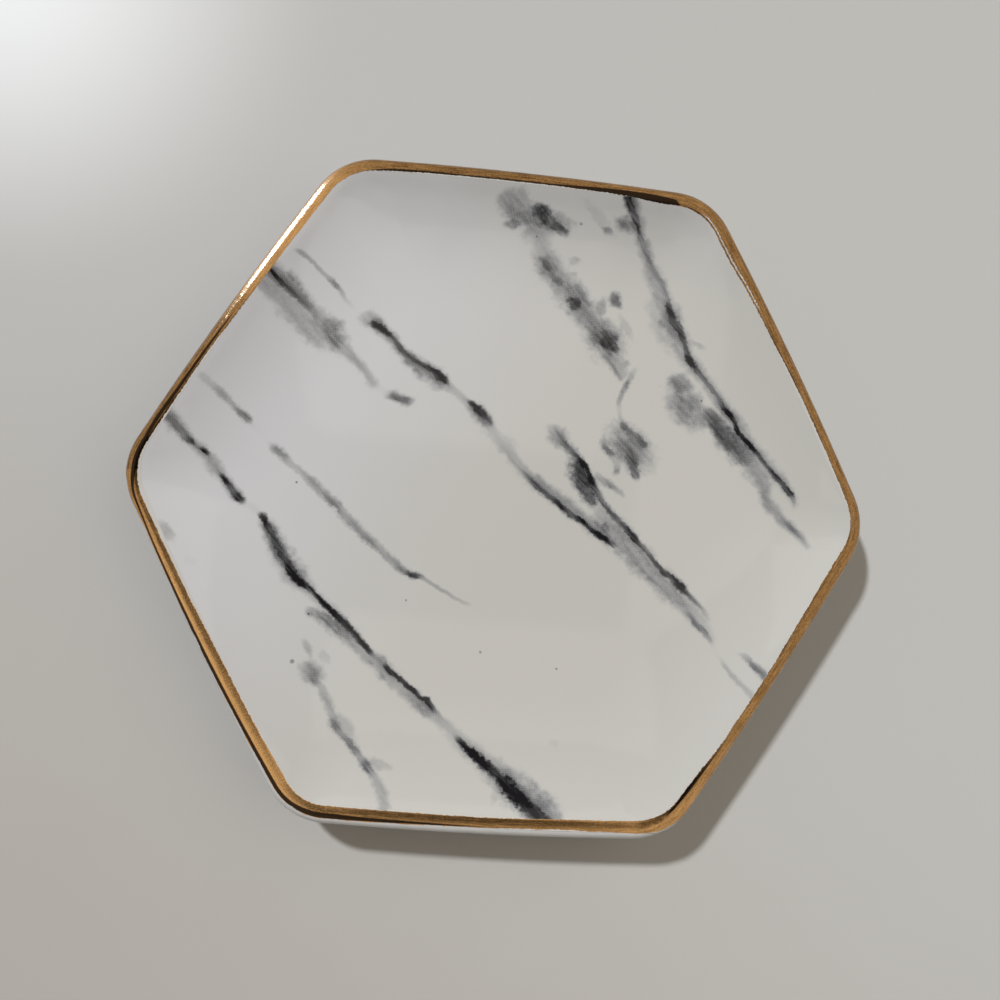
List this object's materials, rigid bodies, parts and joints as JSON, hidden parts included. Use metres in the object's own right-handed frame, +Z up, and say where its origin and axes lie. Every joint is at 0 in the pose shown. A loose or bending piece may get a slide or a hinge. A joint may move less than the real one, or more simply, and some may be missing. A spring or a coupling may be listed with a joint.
{
  "type": "ring dish",
  "caption": "Shallow hexagonal ceramic ring dish with rounded corners, a shallow inside lined with a marble print, and a rolled lip brushed with gold lustre.",
  "frame": {"origin": "middle of the resting plane, under the centre of the hexagon", "axes": "+Z up out of the dish, +X from the centre towards one corner, +Y towards one flat side"},
  "size_m": [0.1204, 0.1081, 0.0121],
  "materials": {
    "bare_clay": "fired, unglazed, matt",
    "glaze": "gloss white glaze",
    "print": "gloss, grey and black marble veins on white",
    "lustre": "bright gold lustre, hand brushed"
  },
  "bodies": {
    "root": {"bisque_body": "bare_clay", "white_glaze": "glaze", "marble_print": "print", "gold_rim": "lustre"}
  },
  "joints": []
}
